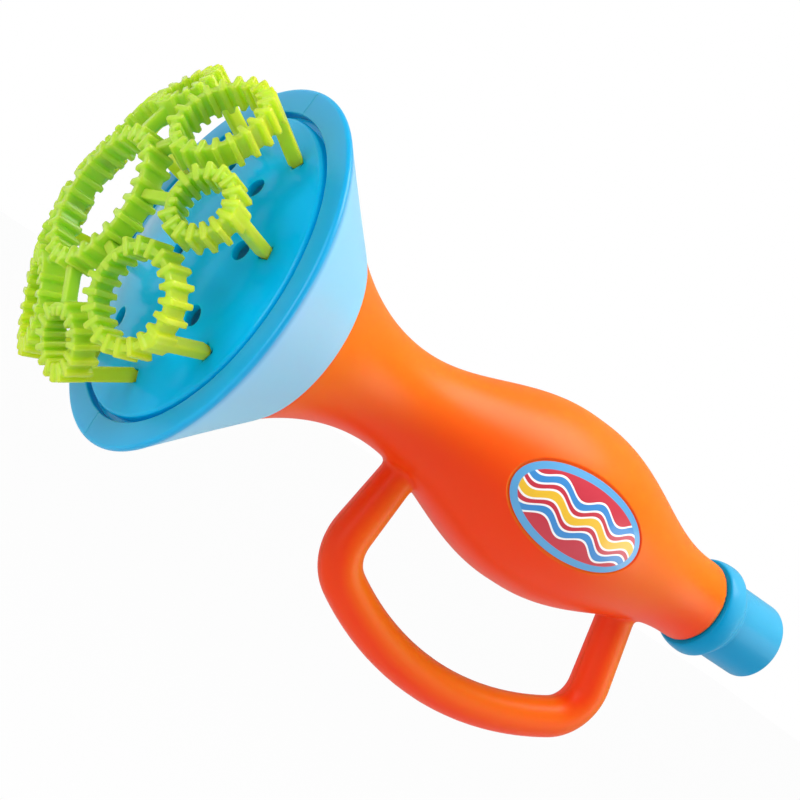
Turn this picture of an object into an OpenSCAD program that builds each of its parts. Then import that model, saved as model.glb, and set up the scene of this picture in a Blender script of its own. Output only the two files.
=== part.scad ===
// Bubble blower trumpet: a hollow horn with a loop handle, a bell closed by a
// vented face plate, a head of toothed bubble rings and a push-on mouthpiece.
// The horn lies along X, with its bell towards -X and its handle towards -Z.
// The origin is on the horn's axis at the mouth end, and stations are distances
// forward from there.

/* [Mouthpiece] */
// Length from the mouth end to the lip of the collar
mouthpiece_length = 30.3; // [27:0.1:36]
// Outside radius of the mouth tube
mouth_tube_r = 12.5; // [11.8:0.1:13.4]
// Length of the plain mouth tube, up to the collar's rise
mouth_tube_length = 19.4; // [15:0.1:22]
// Radius of the air bore
mouth_bore_r = 8.6; // [7:0.1:9]
// Rounding of the mouth end
mouth_edge_r = 1.9; // [0.5:0.1:2.4]
// Largest radius of the collar
collar_r = 15.5; // [14.8:0.1:18]
// Radius of the collar's lip, against the neck
collar_lip_r = 14; // [13.6:0.1:14.6]
// Length of the collar's rounding, from its largest radius to its lip
collar_round = 5.4; // [3:0.1:6]

/* [Body] */
// Wall of the body and the handle
body_wall = 2; // [1.2:0.1:3]
// Outside radius of the neck
neck_r = 13.5; // [13:0.1:14]
// Length of the straight neck in front of the collar
neck_length = 4.1; // [3:0.1:8]
// Length of the spigot that the mouthpiece pushes on to
spigot_length = 12; // [8:0.1:12.5]
// Wall of that spigot
spigot_wall = 2.2; // [1.2:0.1:2.4]
// Length of the fall from the bulge to the neck
fall_length = 63.5; // [50:0.5:80]
// Radius of the bulge
bulge_r = 28.1; // [24:0.1:32]
// Length of the bulge at its full radius
bulge_length = 4.5; // [2:0.1:12]
// Length of the rise from the waist to the bulge
rise_length = 60; // [48:0.5:76]
// Radius of the waist
waist_r = 14.95; // [12.5:0.05:18]
// Length of the flare from the waist to the bell
flare_length = 38.5; // [30:0.5:48]
// Radius of the flare where it meets the bell
flare_r = 27.9; // [26:0.1:30]
// Length of the spigot inside the bell
bell_spigot_length = 5.8; // [4:0.1:8]

/* [Handle] */
// Radius of the handle's tube
handle_r = 6.35; // [5.5:0.05:8]
// Station where the front post meets the horn's axis
front_post_station = 145.4; // [141:0.1:150]
// Lean of the front post towards the bell, in degrees
front_post_lean = 5.3; // [2:0.1:9]
// How much thinner the front post is at the horn's axis, in radius
front_root_taper = 1.5; // [0.2:0.1:2.4]
// Drop of the grip's middle below the horn's axis
grip_drop = 62.6; // [56:0.1:72]
// Radius that the grip is bent to
grip_bend_r = 99.5; // [90:0.5:108]
// Slope of the grip at its front end, in degrees
grip_front_slope = 28.3; // [24:0.1:32]
// Slope of the grip at its rear end, in degrees
grip_rear_slope = 24.6; // [20:0.1:28]
// Bend radius of the front corner
front_corner_r = 13.9; // [11:0.1:18]
// Bend radius of the rear corner
rear_corner_r = 12.2; // [10:0.1:16]
// How much fatter the corners are than the rest of the handle, in radius
corner_swell = 0.15; // [0.1:0.05:0.4]
// Lean of the rear post, in degrees
rear_post_lean = 17.1; // [12:0.1:21]
// How much thinner the rear post is at the horn's axis, in radius
rear_root_taper = 0.8; // [0.2:0.1:2.4]

/* [Bell] */
// Depth of the bell, from the flare to the front lip
bell_depth = 31.5; // [28:0.1:36]
// Wall of the bell
bell_wall = 2; // [1.4:0.1:2.4]
// Step by which the bell's small end stands proud of the flare
bell_step = 0.3; // [0.2:0.05:0.8]
// Largest radius of the rim
rim_r = 52.7; // [46:0.1:58]
// Rounding of the rim's edge
rim_edge_r = 1.1; // [0.8:0.1:2]
// How far the rim's rounding is set back from the front lip
rim_setback = 0.2; // [0.1:0.1:1]
// Width of the rim's front face, from its largest radius to the lip
rim_band = 7.4; // [6.6:0.1:9]
// Depth of the front lip that holds the face plate in
lip_depth = 2.7; // [2:0.1:3]

/* [Face plate] */
// Wall of the face plate
plate_wall = 2; // [1.4:0.1:2.6]
// Rise of the dome at its middle
dome_rise = 7.3; // [4:0.1:9]
// Rounding of the dome's edge
dome_edge_r = 1.2; // [0.6:0.1:1.5]
// Depth of the dome's edge below the front lip, without its rounding
dome_edge_drop = 0.1; // [0.1:0.1:0.8]
// Width of the groove between the dome and the lip
groove_width = 1.4; // [0.8:0.1:1.8]
// Width of the flange that the bell's rim holds
flange_width = 3; // [2.4:0.1:3.2]
// Radius of each air vent
vent_r = 2.75; // [1.5:0.05:3.6]

/* [Bubble head] */
// Turn of the head about the horn's axis, in degrees
head_turn = 18.5; // [0:0.5:45]
// Thickness of the fins
fin_width = 1.6; // [0.8:0.1:1.8]
// Depth of the fins along a ring's own axis
fin_depth = 7.6; // [5:0.1:9]
// Reach of the fins on each side of a ring's wall
fin_reach = 1.5; // [0.8:0.1:1.8]
// Thickness of a ring's wall
ring_wall = 1.8; // [1:0.1:2.4]
// How far the fins stand proud of the wall at the front and the back
fin_proud = 0.7; // [0.2:0.1:1.2]
// Height of the crown ring in front of the bell's lip
crown_height = 30; // [28:0.1:36]
// Height of a large ring's centre in front of the bell's lip
large_ring_height = 22.7; // [20:0.1:24]
// Tilt of a large ring, in degrees
large_ring_tilt = 26; // [18:0.5:30]
// Height of a small ring's centre in front of the bell's lip
small_ring_height = 22.8; // [20:0.1:24]
// Tilt of a small ring, in degrees
small_ring_tilt = 29; // [22:0.5:40]
// Slope of the legs, in degrees
leg_slope = 28; // [22:0.5:30]
// Width of a leg
leg_width = 2.9; // [2:0.1:3.6]
// Thickness of a leg
leg_thick = 3.9; // [2.5:0.1:4.6]
// Thickness of the peg on a leg's foot
peg_thick = 2.6; // [1.8:0.1:3.2]
// How far the pegs reach behind the face plate
peg_tail = 1.6; // [0.5:0.1:3]
// Width of the arms between the crown ring and the other rings
arm_width = 2.6; // [1.6:0.1:3]
// Depth of the arms
arm_depth = 3.4; // [2:0.1:4]

/* [Label] */
// Length of the oval label
label_length = 49; // [36:0.5:52]
// Height of the oval label
label_height = 25.2; // [16:0.2:28]
// Station of the label's middle
label_station = 106.4; // [98:0.1:112]
// Rise of the label's middle above the horn's axis
label_rise = 0.75; // [0:0.05:2]
// Depth of the recess that the label lies in
label_recess = 0.5; // [0.3:0.05:0.8]
// Thickness of the label
label_thick = 0.35; // [0.2:0.05:0.5]

/* [Hidden] */
// Clearance of the mouthpiece on its spigot
push_clearance = 0.05;
// Gap between the collar's lip and the neck, and between the spigot's end and its socket's floor
neck_gap = 0.3;
// Clearance round the face plate's flange and the bell's spigot
seat_clearance = 0.1;
// Clearance of each peg in its slot, and of each leg above the plate
peg_clearance = 0.3;
// Clearance of the label at its edge
label_clearance = 0.3;
// Overrun of every cut
overrun = 1;
// How far the handle's posts and its grip run into its corners
corner_overlap = 0.6;
// Steps in each curved stretch of the body, in a rounding and in the dome
curve_steps = 10;
round_steps = 6;
dome_steps = 10;
cone_steps = 6;
oval_steps = 40;
// Rings of each size, and the fins on each kind of ring
ring_count = 4;
crown_fins = 24;
large_fins = 20;
small_fins = 16;
// Share of a fin's width left flat at its tip, and of its width that the tip is bevelled over
fin_tip_share = 0.4;
fin_bevel_share = 0.45;
// Share of the bell's flare that is bowed and not straight
cone_bow_share = 0.03;
// Shares of the face plate's radius: circle of vents, rings, their distance from the axis, their feet
vent_circle_share = 0.581;
crown_share = 0.4;
large_ring_share = 0.276;
large_circle_share = 0.774;
large_foot_share = 0.854;
small_ring_share = 0.185;
small_circle_share = 0.797;
small_foot_share = 0.772;
// Angles at which the rim's rounding starts and ends, in degrees
rim_round_start = -50;
rim_round_end = 86;
$fn = 96;

// Stations along the horn
neck_shoulder = mouthpiece_length + neck_gap;
spigot_end = neck_shoulder - spigot_length;
bore_end = neck_shoulder + body_wall;
fall_start = neck_shoulder + neck_length;
bulge_start = fall_start + fall_length;
rise_start = bulge_start + bulge_length;
waist_station = rise_start + rise_length;
flare_end = waist_station + flare_length;
bell_front = flare_end + bell_depth;
collar_station = mouthpiece_length - collar_round;

// Fits between the pieces
spigot_r = mouth_bore_r + spigot_wall;
socket_r = spigot_r + push_clearance;
bell_spigot_r = flare_r - body_wall - seat_clearance;
sleeve_r = bell_spigot_r + seat_clearance;
lip_r = rim_r - rim_band;
plate_r = lip_r - groove_width;
flange_r = plate_r + flange_width;
flange_front = bell_front - lip_depth;
flange_back = flange_front - plate_wall;
rim_station = bell_front - rim_setback - rim_edge_r;

// Places on the face plate and the bubble head, from the face plate's radius
vent_circle_r = plate_r * vent_circle_share;
crown_r = plate_r * crown_share;
large_ring_r = plate_r * large_ring_share;
large_ring_out = plate_r * large_circle_share;
large_foot_out = plate_r * large_foot_share;
small_ring_r = plate_r * small_ring_share;
small_ring_out = plate_r * small_circle_share;
small_foot_out = plate_r * small_foot_share;

// Outer outline of the body from the neck to the flare, grown by grow, as [radius, station]
function ease(f) = (1 - cos(180 * f)) / 2;
function body_outline(grow) = concat(
    [[neck_r + grow, neck_shoulder]],
    [for (i = [0 : curve_steps])
        [neck_r + grow + (bulge_r - neck_r) * ease(i / curve_steps),
         fall_start + fall_length * i / curve_steps]],
    [for (i = [0 : curve_steps])
        [bulge_r + grow + (waist_r - bulge_r) * ease(i / curve_steps),
         rise_start + rise_length * i / curve_steps]],
    [for (i = [1 : curve_steps])
        [waist_r + grow + (flare_r - waist_r) * pow(i / curve_steps, 2),
         waist_station + flare_length * i / curve_steps]]);
function reversed(list) = [for (i = [len(list) - 1 : -1 : 0]) list[i]];

// Handle path in the horn's middle plane, as [along X, drop]
front_post_run = (grip_drop - grip_bend_r + (grip_bend_r - front_corner_r) * cos(grip_front_slope)
    - front_corner_r * sin(front_post_lean)) / cos(front_post_lean);
front_corner_mid = [-front_post_station, 0]
    + front_post_run * [-sin(front_post_lean), cos(front_post_lean)]
    + front_corner_r * [cos(front_post_lean), sin(front_post_lean)];
grip_mid = front_corner_mid
    + (grip_bend_r - front_corner_r) * [sin(grip_front_slope), -cos(grip_front_slope)];
rear_corner_mid = grip_mid + (grip_bend_r - rear_corner_r) * [sin(grip_rear_slope), cos(grip_rear_slope)];
rear_post_foot = rear_corner_mid + rear_corner_r * [cos(rear_post_lean), -sin(rear_post_lean)];
rear_post_run = rear_post_foot.y / cos(rear_post_lean);

// Dome of the face plate: radius of its sphere, and its height at a distance from the axis
dome_edge = bell_front - dome_edge_drop;
dome_r = (pow(plate_r, 2) + pow(dome_rise, 2)) / (2 * dome_rise);
function dome_at(out) = dome_edge + dome_rise - dome_r + sqrt(pow(dome_r, 2) - pow(out, 2));

// Where a ring's wall ends at the front
function ring_front(height, radius, tilt) =
    bell_front + height - radius * sin(tilt) + (fin_depth / 2 - fin_proud) * cos(tilt);

// Turns a shape made along Z, with the mouth end at zero, on to the horn's axis
module along_horn() {
    rotate([0, -90, 0]) children();
}

// Keeps one side of the horn's middle plane: -1 is the player's left, 1 the right
module half(side) {
    reach = bell_front + overrun;
    intersection() {
        children();
        translate([-reach, side < 0 ? -reach : 0, -reach]) cube([2 * reach, reach, 2 * reach]);
    }
}

// Tube along the handle's path: the posts and the grip run a little way into the fatter corners
module handle_tube(radius) {
    lap_angle = corner_overlap / grip_bend_r * 180 / PI;
    corner_tube_r = radius + corner_swell;
    rotate([-90, 0, 0]) {
        translate([-front_post_station, 0, 0]) rotate([0, 0, front_post_lean]) rotate([-90, 0, 0])
            cylinder(h = front_post_run + corner_overlap, r1 = radius - front_root_taper, r2 = radius);
        translate(front_corner_mid) rotate([0, 0, 90 + grip_front_slope])
            rotate_extrude(angle = 90 - grip_front_slope + front_post_lean)
                translate([front_corner_r, 0]) circle(corner_tube_r);
        translate(grip_mid) rotate([0, 0, 90 - grip_rear_slope - lap_angle])
            rotate_extrude(angle = grip_front_slope + grip_rear_slope + 2 * lap_angle)
                translate([grip_bend_r, 0]) circle(radius);
        translate(rear_corner_mid) rotate([0, 0, -rear_post_lean])
            rotate_extrude(angle = 90 - grip_rear_slope + rear_post_lean)
                translate([rear_corner_r, 0]) circle(corner_tube_r);
        translate(rear_post_foot) rotate([0, 0, -90 - rear_post_lean]) rotate([0, 90, 0])
            translate([0, 0, -corner_overlap])
                cylinder(h = rear_post_run + corner_overlap, r1 = radius, r2 = radius - rear_root_taper);
    }
}

// Solid of the body's inside, open at the mouth spigot and at the bell
module body_hollow() {
    bell_bore_r = bell_spigot_r - body_wall;
    along_horn() rotate_extrude() polygon(concat(
        [[0, spigot_end - overrun], [mouth_bore_r, spigot_end - overrun], [mouth_bore_r, bore_end]],
        [for (p = body_outline(-body_wall)) if (p.y > bore_end && p.y < flare_end - body_wall) p],
        [[bell_bore_r, flare_end - body_wall], [bell_bore_r, flare_end + bell_spigot_length + overrun],
         [0, flare_end + bell_spigot_length + overrun]]));
    handle_tube(handle_r - body_wall);
}

// Solid of the body's outside, with a spigot at each end and without the handle
module body_outside() {
    along_horn() rotate_extrude() polygon(concat(
        [[0, spigot_end], [spigot_r, spigot_end], [spigot_r, neck_shoulder]],
        body_outline(0),
        [[bell_spigot_r, flare_end], [bell_spigot_r, flare_end + bell_spigot_length],
         [0, flare_end + bell_spigot_length]]));
}

// Prism of the label's oval on the left side, smaller by gap at its edge
module label_prism(gap) {
    a = label_length / 2 - gap;
    b = label_height / 2 - gap;
    translate([-label_station, 0, label_rise]) rotate([90, 0, 0]) linear_extrude(bulge_r + overrun)
        polygon([for (i = [0 : oval_steps - 1]) let (turn = 360 * i / oval_steps)
            [a * cos(turn), b * sin(turn)]]);
}

// Skin of the body between two distances below its surface, a negative one outside it
module body_skin(top, floor) {
    along_horn() rotate_extrude() polygon(concat(body_outline(-top), reversed(body_outline(-floor))));
}

module body_half(side) {
    half(side) difference() {
        body_outside();
        body_hollow();
    }
}

module body_left() {
    color("darkorange") difference() {
        body_half(-1);
        intersection() {
            body_skin(-overrun, label_recess);
            label_prism(0);
        }
    }
}

module body_right() {
    color("darkorange") body_half(1);
}

// One half of the loop handle, up to the body's surface and open into the body
module handle_half(side) {
    color("darkorange") half(side) difference() {
        handle_tube(handle_r);
        handle_tube(handle_r - body_wall);
        body_outside();
    }
}

module handle_left() {
    handle_half(-1);
}

module handle_right() {
    handle_half(1);
}

module side_label() {
    color("crimson") intersection() {
        body_skin(label_recess - label_thick, label_recess);
        label_prism(label_clearance);
    }
}

// One half of the bell: a cone with a rounded rim, a slot for the face plate and a sleeve for the flare
module bell_half(side) {
    cone_start = [flare_r + bell_step, flare_end];
    edge_mid = [rim_r - rim_edge_r, rim_station];
    rounding = [for (i = [0 : round_steps])
        let (a = rim_round_start + (rim_round_end - rim_round_start) * i / round_steps)
        edge_mid + rim_edge_r * [cos(a), sin(a)]];
    cone_length = rounding[0].y - flare_end;
    cone_growth = rounding[0].x - cone_start.x;
    cone = [for (i = [0 : cone_steps - 1]) let (f = i / cone_steps)
        cone_start + [cone_growth * (f * (1 - cone_bow_share) + f * f * cone_bow_share), cone_length * f]];
    inner_gap = bell_wall * sqrt(1 + pow(cone_growth / cone_length, 2));
    slot_front = flange_front + seat_clearance;
    slot_back = flange_back - seat_clearance;
    back_lip = slot_back - plate_wall;
    sleeve_end = flare_end + bell_spigot_length;
    sleeve_outer = sleeve_r + bell_wall;
    inside = [for (i = [cone_steps - 1 : -1 : 1])
        if (cone[i].x - inner_gap > sleeve_outer) cone[i] - [inner_gap, 0]];
    half(side) along_horn() rotate_extrude() polygon(concat(
        [[sleeve_r, flare_end]],
        cone,
        rounding,
        [[lip_r, bell_front], [lip_r, slot_front],
         [flange_r + seat_clearance, slot_front], [flange_r + seat_clearance, slot_back],
         [plate_r - plate_wall, slot_back], [plate_r - plate_wall, back_lip]],
        inside,
        [[sleeve_outer, sleeve_end - bell_wall], [sleeve_outer, sleeve_end], [sleeve_r, sleeve_end]]));
}

module bell_left() {
    color("lightskyblue") bell_half(-1);
}

module bell_right() {
    color("lightskyblue") bell_half(1);
}

// Domed plate with a vent in its middle, a circle of vents, and a slot for each leg's peg
module face_plate() {
    inside_r = plate_r - plate_wall;
    round_start = plate_r - dome_edge_r;
    outer_dome = [for (i = [0 : dome_steps]) let (out = round_start * i / dome_steps) [out, dome_at(out)]];
    dome_edge_round = [for (i = [1 : round_steps]) let (a = 90 - 90 * i / round_steps)
        [round_start + dome_edge_r * cos(a), dome_at(round_start) - dome_edge_r * (1 - sin(a))]];
    inner_dome = [for (i = [dome_steps : -1 : 0]) let (out = inside_r * i / dome_steps)
        [out, dome_at(out) - plate_wall]];
    color("deepskyblue") along_horn() difference() {
        rotate_extrude() polygon(concat(outer_dome, dome_edge_round,
            [[plate_r, flange_front], [flange_r, flange_front],
             [flange_r, flange_back], [inside_r, flange_back]],
            inner_dome));
        translate([0, 0, flange_back]) cylinder(h = dome_rise + lip_depth + plate_wall + overrun, r = vent_r);
        for (i = [0 : 2 * ring_count - 1]) rotate([0, 0, head_turn + 180 * i / ring_count]) {
            translate([vent_circle_r, 0, flange_back])
                cylinder(h = dome_rise + lip_depth + plate_wall + overrun, r = vent_r);
            foot_out = i % 2 == 0 ? small_foot_out : large_foot_out;
            slot_thick = peg_thick + 2 * peg_clearance;
            slot_width = leg_width + 2 * peg_clearance;
            translate([foot_out - slot_thick / 2, -slot_width / 2, flange_back])
                cube([slot_thick, slot_width, dome_rise + lip_depth + plate_wall]);
        }
    }
}

// Push-on mouthpiece: a tube with a rounded collar and a socket for the spigot
module mouthpiece() {
    socket_floor = spigot_end - neck_gap;
    mouth_edge = [for (i = [0 : round_steps]) let (a = 90 - 90 * i / round_steps)
        [mouth_tube_r - mouth_edge_r * (1 - cos(a)), mouth_edge_r * (1 - sin(a))]];
    collar_rise = [for (i = [0 : curve_steps - 1]) let (f = i / curve_steps)
        [mouth_tube_r + (collar_r - mouth_tube_r) * ease(f),
         mouth_tube_length + (collar_station - mouth_tube_length) * f]];
    collar_edge = [for (i = [0 : round_steps]) let (a = 90 * i / round_steps)
        [collar_lip_r + (collar_r - collar_lip_r) * cos(a), collar_station + collar_round * sin(a)]];
    color("dodgerblue") along_horn() rotate_extrude() polygon(concat(
        [[mouth_bore_r, 0]],
        mouth_edge,
        collar_rise,
        collar_edge,
        [[socket_r, mouthpiece_length], [socket_r, socket_floor], [mouth_bore_r, socket_floor]]));
}

// Fin along X from one radius to another, with bevelled tips
module fin(low, high) {
    bevel = fin_width * fin_bevel_share;
    tip = fin_width * fin_tip_share / 2;
    side = fin_width / 2;
    translate([0, 0, -fin_depth / 2]) linear_extrude(fin_depth)
        polygon([[low, -tip], [low + bevel, -side], [high - bevel, -side], [high, -tip],
            [high, tip], [high - bevel, side], [low + bevel, side], [low, tip]]);
}

// Toothed ring about Z, with its fins through its wall; the clear fins on each side of -X stay inside it
module toothed_ring(radius, fins, clear) {
    inside = radius - ring_wall / 2;
    outside = radius + ring_wall / 2;
    translate([0, 0, fin_proud - fin_depth / 2]) linear_extrude(fin_depth - 2 * fin_proud) difference() {
        circle(outside);
        circle(inside);
    }
    for (i = [0 : fins - 1]) rotate([0, 0, 180 + 360 * (i + 1 / 2) / fins])
        fin(inside - fin_reach, i < clear || i >= fins - clear ? radius : outside + fin_reach);
}

// Stands children at a ring's place on the head
module at_ring(turn, out, height, tilt) {
    along_horn() rotate([0, 0, turn]) translate([out, 0, bell_front + height])
        rotate([0, tilt, 0]) children();
}

// Leg from a ring's wall down to the face plate, cut along the dome, with the peg that plugs into it
module leg(turn, foot_out, top) {
    start = dome_at(foot_out) + peg_clearance;
    plate_under = dome_at(foot_out) - plate_wall - peg_tail;
    along_horn() rotate([0, 0, turn]) translate([foot_out, -leg_width / 2, 0]) {
        difference() {
            translate([0, 0, start]) rotate([0, leg_slope, 0]) translate([-leg_thick / 2, 0, -leg_thick])
                cube([leg_thick, leg_width, (top - start) / cos(leg_slope) + leg_thick]);
            translate([0, 0, start]) rotate([0, asin(foot_out / dome_r), 0])
                translate([-2 * leg_thick, -overrun, -2 * leg_thick])
                    cube([4 * leg_thick, leg_width + 2 * overrun, 2 * leg_thick]);
        }
        translate([-peg_thick / 2, 0, plate_under])
            cube([peg_thick, leg_width, start + leg_thick / 2 - plate_under]);
    }
}

// Arm from the crown ring's wall to another ring's wall
module arm(turn, out, height, radius, tilt) {
    from = [crown_r, bell_front + crown_height];
    to = [out - radius * cos(tilt), bell_front + height + radius * sin(tilt)];
    difference() {
        along_horn() rotate([0, 0, turn]) translate([from.x, 0, from.y])
            rotate([0, atan2(from.y - to.y, to.x - from.x), 0])
                translate([0, -arm_width / 2, -arm_depth / 2]) cube([norm(to - from), arm_width, arm_depth]);
        at_ring(turn, 0, crown_height, 0) translate([0, 0, -fin_depth])
            cylinder(h = 2 * fin_depth, r = crown_r + ring_wall / 2);
    }
}

module crown_ring() {
    color("yellowgreen") at_ring(head_turn, 0, crown_height, 0) toothed_ring(crown_r, crown_fins, 0);
}

// Petal ring with its leg down to the face plate and its arm up to the crown ring
module petal(turn, radius, fins, out, height, tilt, foot_out) {
    color("yellowgreen") {
        at_ring(turn, out, height, tilt) toothed_ring(radius, fins, 1);
        leg(turn, foot_out, ring_front(height, radius, tilt));
        arm(turn, out, height, radius, tilt);
    }
}

module large_petal(index) {
    petal(head_turn + 360 * (index + 1 / 2) / ring_count, large_ring_r, large_fins,
        large_ring_out, large_ring_height, large_ring_tilt, large_foot_out);
}

module small_petal(index) {
    petal(head_turn + 360 * index / ring_count, small_ring_r, small_fins,
        small_ring_out, small_ring_height, small_ring_tilt, small_foot_out);
}

body_left();
body_right();
handle_left();
handle_right();
bell_left();
bell_right();
face_plate();
side_label();
mouthpiece();
crown_ring();
large_petal(0);  // large_petal_1
large_petal(1);  // large_petal_2
large_petal(2);  // large_petal_3
large_petal(3);  // large_petal_4
small_petal(0);  // small_petal_1
small_petal(1);  // small_petal_2
small_petal(2);  // small_petal_3
small_petal(3);  // small_petal_4
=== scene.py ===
from math import atan2, cos, hypot, pi, radians, sin, sqrt, tau

import bmesh
import bpy
from mathutils import Matrix, Vector


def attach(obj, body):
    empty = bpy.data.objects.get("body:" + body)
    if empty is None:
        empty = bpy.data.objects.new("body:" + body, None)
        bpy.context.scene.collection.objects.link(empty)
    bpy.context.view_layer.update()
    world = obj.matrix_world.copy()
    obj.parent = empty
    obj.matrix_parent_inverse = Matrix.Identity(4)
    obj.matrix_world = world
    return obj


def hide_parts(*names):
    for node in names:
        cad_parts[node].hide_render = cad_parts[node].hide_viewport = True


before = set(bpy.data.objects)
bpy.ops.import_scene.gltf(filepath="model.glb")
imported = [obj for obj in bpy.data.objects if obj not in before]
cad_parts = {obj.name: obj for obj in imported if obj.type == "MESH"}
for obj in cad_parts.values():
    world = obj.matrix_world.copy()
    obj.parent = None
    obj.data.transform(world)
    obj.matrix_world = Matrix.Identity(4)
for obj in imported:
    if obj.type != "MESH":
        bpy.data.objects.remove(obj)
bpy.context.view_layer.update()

# Horn shells
# The horn is two thin orange plastic half shells with the loop handle moulded on, split on the
# handle's plane and welded edge to edge. The handle's roots run into the horn in soft moulded fillets.
mm = 0.001
neck_r = 13.5
neck_end = 30.6
fall_start = 34.7
fall_length = 63.5
bulge_r = 28.1
bulge_length = 4.5
rise_length = 60.0
waist_r = 14.95
flare_length = 38.5
flare_r = 27.9
horn_wall = 2.0
mouth_spigot_r = 10.8
mouth_spigot_length = 12.0
mouth_bore_r = 8.6
bell_tuck = 1.5
rise_start = fall_start + fall_length + bulge_length
waist_station = rise_start + rise_length
flare_end = waist_station + flare_length
seam_gap = 0.06
weld = 0.002
cut_tolerance = 0.001
horn_sides = 128
horn_voxel = 0.8
horn_passes = 8
horn_crease = 45


def ease(f):
    """Smooth rise from 0 to 1 as a share goes from 0 to 1."""
    return (1 - cos(pi * f)) / 2


def horn_radius(station):
    """Outside radius of the horn at a station, both in millimetres."""
    if station <= fall_start:
        return neck_r
    if station <= fall_start + fall_length:
        return neck_r + (bulge_r - neck_r) * ease((station - fall_start) / fall_length)
    if station <= rise_start:
        return bulge_r
    if station <= waist_station:
        return bulge_r + (waist_r - bulge_r) * ease((station - rise_start) / rise_length)
    return waist_r + (flare_r - waist_r) * ((station - waist_station) / flare_length) ** 2


def turned(bm, outline, steps):
    """Turns a closed outline of (radius, station) points about the horn's axis."""
    ring = [bm.verts.new((-s * mm, 0, r * mm)) for r, s in outline]
    edges = [bm.edges.new((ring[i - 1], ring[i])) for i in range(len(ring))]
    bmesh.ops.spin(bm, geom=ring + edges, cent=(0, 0, 0), axis=(1, 0, 0),
                   angle=tau, steps=steps, use_merge=True)
    bmesh.ops.remove_doubles(bm, verts=bm.verts, dist=weld * mm)
    bmesh.ops.recalc_face_normals(bm, faces=bm.faces)


def mesh_piece(name, bm, crease=35):
    """Makes an object from a bmesh, smooth but for edges sharper than crease degrees."""
    mesh = bpy.data.meshes.new(name)
    bm.to_mesh(mesh)
    bm.free()
    mesh.shade_smooth()
    mesh.set_sharp_from_angle(angle=radians(crease))
    piece = bpy.data.objects.new(name, mesh)
    bpy.context.scene.collection.objects.link(piece)
    return piece


def settled(piece):
    """Bakes a piece's modifiers into its mesh and gives that mesh as a bmesh."""
    shown = piece.evaluated_get(bpy.context.evaluated_depsgraph_get())
    bm = bmesh.new()
    bm.from_mesh(shown.to_mesh())
    mesh = piece.data
    bpy.data.objects.remove(piece)
    bpy.data.meshes.remove(mesh)
    return bm


def drop_specks(bm):
    """Deletes the specks that a melt can leave apart from the main skin."""
    unseen = set(bm.verts)
    islands = []
    for start in bm.verts:
        if start not in unseen:
            continue
        unseen.remove(start)
        island = [start]
        for v in island:
            for e in v.link_edges:
                other = e.other_vert(v)
                if other in unseen:
                    unseen.remove(other)
                    island.append(other)
        islands.append(island)
    main = max(islands, key=len)
    specks = [v for island in islands if island is not main for v in island]
    bmesh.ops.delete(bm, geom=specks, context="VERTS")


def blended(name, bm, voxel, passes):
    """Melts overlapping shapes into one skin with soft fillets, as they come out of one mould."""
    piece = mesh_piece(name, bm)
    melt = piece.modifiers.new("melt", "REMESH")
    melt.mode = "VOXEL"
    melt.voxel_size = voxel * mm
    relax = piece.modifiers.new("relax", "SMOOTH")
    relax.factor = 0.5
    relax.iterations = passes
    bm = settled(piece)
    drop_specks(bm)
    return bm


def keep_half(bm, side, gap):
    """Keeps the half on one side of the handle's plane, -1 for the player's left, a gap short of it."""
    cut = bmesh.ops.bisect_plane(
        bm, geom=bm.verts[:] + bm.edges[:] + bm.faces[:], dist=cut_tolerance * mm,
        plane_co=(0, side * gap * mm, 0), plane_no=(0, side, 0), clear_inner=True)
    rim = [e for e in cut["geom_cut"] if isinstance(e, bmesh.types.BMEdge)]
    bmesh.ops.triangle_fill(bm, use_beauty=True, edges=rim, normal=(0, -side, 0))


outer = [(mouth_spigot_r, neck_end - mouth_spigot_length), (mouth_spigot_r, neck_end)]
outline_step = 2.0
stations = [neck_end]
while stations[-1] < flare_end - outline_step:
    stations.append(stations[-1] + outline_step)
stations += [flare_end, flare_end + bell_tuck]
outer += [(horn_radius(min(s, flare_end)), s) for s in stations]
inner = [(horn_radius(min(s, flare_end)) - horn_wall, s) for s in reversed(stations) if s > fall_start]
inner += [(neck_r - horn_wall, fall_start), (mouth_bore_r, neck_end + horn_wall)]
inner += [(mouth_bore_r, neck_end - mouth_spigot_length)]

handle_r = 6.35
front_post_station = 145.4
front_post_lean = radians(5.3)
front_root_taper = 1.5
grip_drop = 62.6
grip_bend_r = 99.5
grip_front_slope = radians(28.3)
grip_rear_slope = radians(24.6)
front_corner_r = 13.9
rear_corner_r = 12.2
rear_post_lean = radians(17.1)
rear_root_taper = 0.8
root_depth = 1.4
rear_root_ahead = 4.2


def handle_point(x, drop):
    """Point of the handle's plane, from millimetres along X and below the horn's axis."""
    return Vector((x * mm, 0, -drop * mm))


front_run = (grip_drop - grip_bend_r + (grip_bend_r - front_corner_r) * cos(grip_front_slope)
             - front_corner_r * sin(front_post_lean)) / cos(front_post_lean)
front_down = handle_point(-sin(front_post_lean), cos(front_post_lean))
front_end = handle_point(-front_post_station, 0) + front_run * front_down
front_mid = front_end + front_corner_r * handle_point(cos(front_post_lean), sin(front_post_lean))
grip_mid = front_mid + (grip_bend_r - front_corner_r) * handle_point(
    sin(grip_front_slope), -cos(grip_front_slope))
rear_mid = grip_mid + (grip_bend_r - rear_corner_r) * handle_point(sin(grip_rear_slope), cos(grip_rear_slope))
rear_end = rear_mid + rear_corner_r * handle_point(cos(rear_post_lean), -sin(rear_post_lean))
rear_up = handle_point(-sin(rear_post_lean), -cos(rear_post_lean))
rear_run = -rear_end.z / mm / cos(rear_post_lean)
handle_sides = 48
front_corner_steps = 16
grip_steps = 36
rear_corner_steps = 20


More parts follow.
